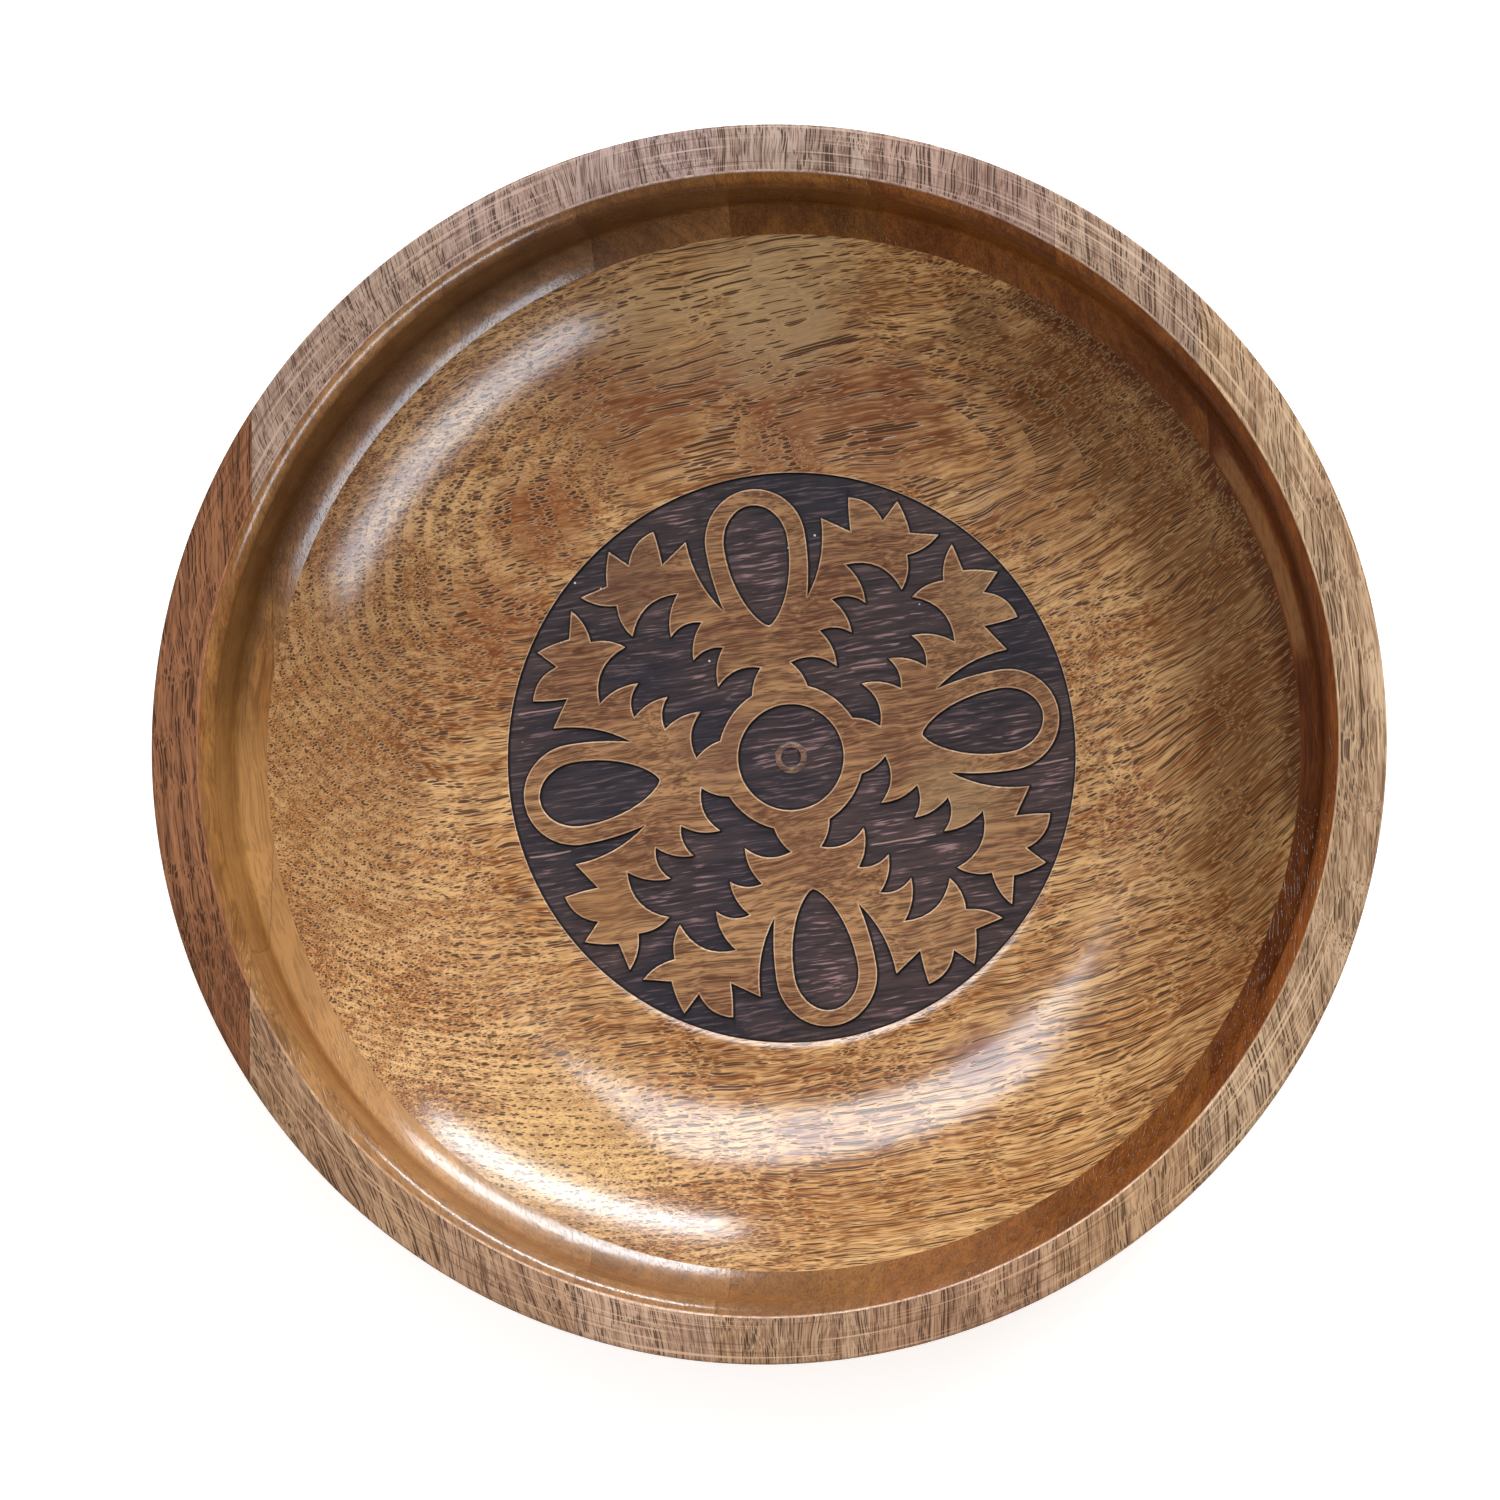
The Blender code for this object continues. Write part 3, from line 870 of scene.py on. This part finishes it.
# painted light and shade on the lacquered inside of the rim: painted shade with some dirt in the crease at
# lower left, a painted shadow of the right wall on the ledge, painted shade at upper left, a painted lit
# patch on the right ledge, painted shade on the upper and right wall, painted light on the lower-left ledge
# and a faint painted highlight at the bottom
COVE_LIGHT_AND_SHADE = (
    (0.1330, 0.1346, 0.0005, 236.0, 42.0, 12.0, 0.55, (120, 66, 26)),
    (0.1322, 0.1352, 0.0008, 15.0, 40.0, 14.0, 0.75, (58, 16, 2)),
    (0.1318, 0.1352, 0.0012, 143.0, 42.0, 16.0, 0.60, (62, 38, 16)),
    (0.1276, 0.1312, 0.0005, 22.0, 13.0, 3.0, 0.60, (160, 112, 66)),
    (0.1340, 0.1362, 0.0006, 60.0, 75.0, 20.0, 0.45, (64, 26, 2)),
    (0.1268, 0.1335, 0.0006, 210.0, 40.0, 16.0, 0.45, (196, 146, 92)),
    (0.1268, 0.1384, 0.0006, 262.0, 48.0, 24.0, 0.12, (206, 160, 116)),
)


def board_materials(key, seed, word, tint):
    """Dressed, lacquered and edge wood of one board; tint shifts the tone of its dressed face."""
    fibre, dressed, inner = BOARDS[key]
    dressed = tuple(tuple(c * t for c, t in zip(tone, tint)) for tone in dressed)
    looks = dict(fibre=fibre, seed=seed, rings=(0.10 - 0.03 * seed, 0.16, 0.0035))
    bare = wood(
        f"board_{word}_dressed", dressed, coat=0.05, pore=1.0, pore_size=0.72, streak=1.25, flame=0.5,
        turned=2.1, rough=(0.55, 0.70), dip=6.0, rows=0.8, **looks)
    lacquer = wood(
        f"board_{word}_lacquered", inner, coat=0.8, pore=0.25, streak=0.7, ring_line=0.25, flame=0.6,
        dip=2.0, gloss=0.08, arcs=COVE_LIGHT_AND_SHADE, **looks)
    pale = tuple(tuple(min(1.0, c * 1.45) for c in tone) for tone in dressed)
    edge = wood(f"board_{word}_edge", pale, coat=0.5, pore=0.3, streak=0.8, **looks)
    return [bare, lacquer, edge]


def add_block(name, start, end, side, materials):
    """One piece of the rim ring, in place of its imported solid."""
    piece = block(name + "_wood", start, end, side, materials)
    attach(piece, "root")
    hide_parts(name)


# the back and front copies of each board are one wood, tinted apart as painted light: cooler and bluish for
# a painted sheen on the back rim, warmer on the front rim
SIDE_TINT = (0.97, 0.95, 0.90)
BACK_SHEEN_TINT = (0.86, 0.88, 0.98)
FRONT_TINT = (0.98, 0.89, 0.76)
left_woods = board_materials("left", 3.0, "left", (0.90, 0.82, 0.62))
right_woods = board_materials("right", 9.5, "right", SIDE_TINT)
add_block("rim_left_block", None, JOINTS[0] - HAIR, 0, left_woods)
add_block("rim_right_block", JOINTS[-1] + HAIR, None, 0, right_woods)
for k in range(1, len(JOINTS)):
    for word, side, tint in (("back", 1, BACK_SHEEN_TINT), ("front", -1, FRONT_TINT)):
        woods = board_materials(k, 3.0 + k + 0.3 * side, f"{word}_{k}", tint)
        start = JOINTS[k - 1] + HAIR
        end = JOINTS[k] - HAIR
        add_block(f"rim_{word}_block_{k}", start, end, side, woods)


# ---- setting -----------------------------------------------------------------------------------
def plain(name, colour, rough, glow):
    """Even paper-like surface that glows faintly, so it stays nearly white in the shade."""
    material = bpy.data.materials.new(name)
    g = Graph(material)
    place = g.node("ShaderNodeTexCoord").outputs["Object"]
    shader = g.node("ShaderNodeBsdfPrincipled")
    tint = g.ramp(g.noise(place, 3.0, 2.0), 0.3, 0.7)
    g.put(shader.inputs["Base Color"], g.mix(tint, tuple(c * 0.985 for c in colour), colour))
    shader.inputs["Roughness"].default_value = rough
    shader.inputs["Specular IOR Level"].default_value = 0.1
    shader.inputs["Emission Color"].default_value = (1.0, 1.0, 1.0, 1.0)
    shader.inputs["Emission Strength"].default_value = glow
    out = g.node("ShaderNodeOutputMaterial")
    g.put(out.inputs["Surface"], shader.outputs["BSDF"])
    return material


work = bmesh.new()
bmesh.ops.create_grid(work, x_segments=1, y_segments=1, size=3.0)
# a hair under the foot, so the two faces do not share one plane
bmesh.ops.translate(work, verts=work.verts, vec=(0.0, 0.0, -0.0003))
floor = finish("floor", work, [plain("floor_paper", (0.94, 0.94, 0.94), 0.9, 0.45)])


def area(
    name, direction, distance, size, size_y, power,
    colour=(1.0, 1.0, 1.0), mirrored=True, roll=0.0, lights=True,
):
    """Rectangular studio light in one direction from the bowl, facing it.

    mirrored says whether it shows in reflections, lights whether it lights matt surfaces.
    """
    data = bpy.data.lights.new(name, "AREA")
    data.shape = "RECTANGLE"
    data.size = size
    data.size_y = size_y
    data.energy = power
    data.color = colour
    lamp = bpy.data.objects.new(name, data)
    bpy.context.scene.collection.objects.link(lamp)
    way = Vector(direction).normalized()
    lamp.location = way * distance + Vector((0.0, 0.0, 0.03))
    turn = (-way).to_track_quat("-Z", "Y").to_matrix() @ Matrix.Rotation(math.radians(roll), 3, "Z")
    lamp.rotation_euler = turn.to_euler()
    lamp.visible_glossy = mirrored
    lamp.visible_diffuse = lights
    return lamp


def sky(horizon, room):
    """Room light: pale low down, dim above, so little of it is mirrored in the bowl."""
    world = bpy.data.worlds.new("studio")
    bpy.context.scene.world = world
    world.use_nodes = True
    tree = world.node_tree
    spot = tree.nodes.new("ShaderNodeTexCoord")
    parts = tree.nodes.new("ShaderNodeSeparateXYZ")
    tree.links.new(spot.outputs["Generated"], parts.inputs[0])
    fade = tree.nodes.new("ShaderNodeMapRange")
    fade.interpolation_type = "SMOOTHSTEP"
    tree.links.new(parts.outputs[2], fade.inputs["Value"])
    for name, number in zip(("From Min", "From Max", "To Min", "To Max"), (0.0, 0.10, horizon, room)):
        fade.inputs[name].default_value = number
    back = tree.nodes["Background"]
    back.inputs["Color"].default_value = (1.0, 1.0, 1.0, 1.0)
    tree.links.new(fade.outputs["Result"], back.inputs["Strength"])


sky(0.80, 0.14)
area("window_back", (0.27, 0.88, 0.37), 1.6, 1.00, 0.16, 19.0, (0.86, 0.94, 1.0), roll=8.0)
area("window_side", (0.60, -0.60, 0.62), 1.6, 1.25, 0.26, 14.0, (0.78, 0.88, 1.0), lights=False)
area("window_high", (-0.17, 0.50, 0.86), 1.8, 1.10, 0.65, 34.0, (0.80, 0.90, 1.0), lights=False)
area("key_back", (0.45, 0.68, 0.58), 1.8, 1.4, 1.4, 22.0, (1.0, 0.98, 0.95), mirrored=False)
area("ceiling", (0.0, 0.0, 1.0), 2.2, 4.0, 4.0, 52.0, mirrored=False)
area("fill_left", (-0.80, -0.40, 0.45), 2.2, 2.0, 2.0, 12.0, mirrored=False)
bpy.context.scene.view_settings.view_transform = "Standard"

# ---- camera --------------------------------------------------------------------------------------
DISTANCE = 2.5              # from the middle of the rim
TILT = math.radians(7.65)   # away from straight above
SIDE = math.radians(-30.8)  # which way it leans, from +X
SENSOR = 36.0               # sensor width and lens, millimetres
LENS = 249.0
SHIFT = (-0.0098, -0.005533)
camera_data = bpy.data.cameras.new("camera")
camera = bpy.data.objects.new("camera", camera_data)
bpy.context.scene.collection.objects.link(camera)
bpy.context.scene.camera = camera
back = Vector((math.sin(TILT) * math.cos(SIDE), math.sin(TILT) * math.sin(SIDE), math.cos(TILT)))
camera.location = Vector((0.0, 0.0, HEIGHT)) + back * DISTANCE
right = Vector((0.0, 1.0, 0.0)).cross(back).normalized()
up = back.cross(right).normalized()
camera.rotation_euler = Matrix((right, up, back)).transposed().to_euler()
camera_data.sensor_width = SENSOR
camera_data.lens = LENS
camera_data.shift_x, camera_data.shift_y = SHIFT
camera_data.clip_end = 20.0

# ---- last update of the scene ----------------------------------------------------------------------
bpy.context.view_layer.update()
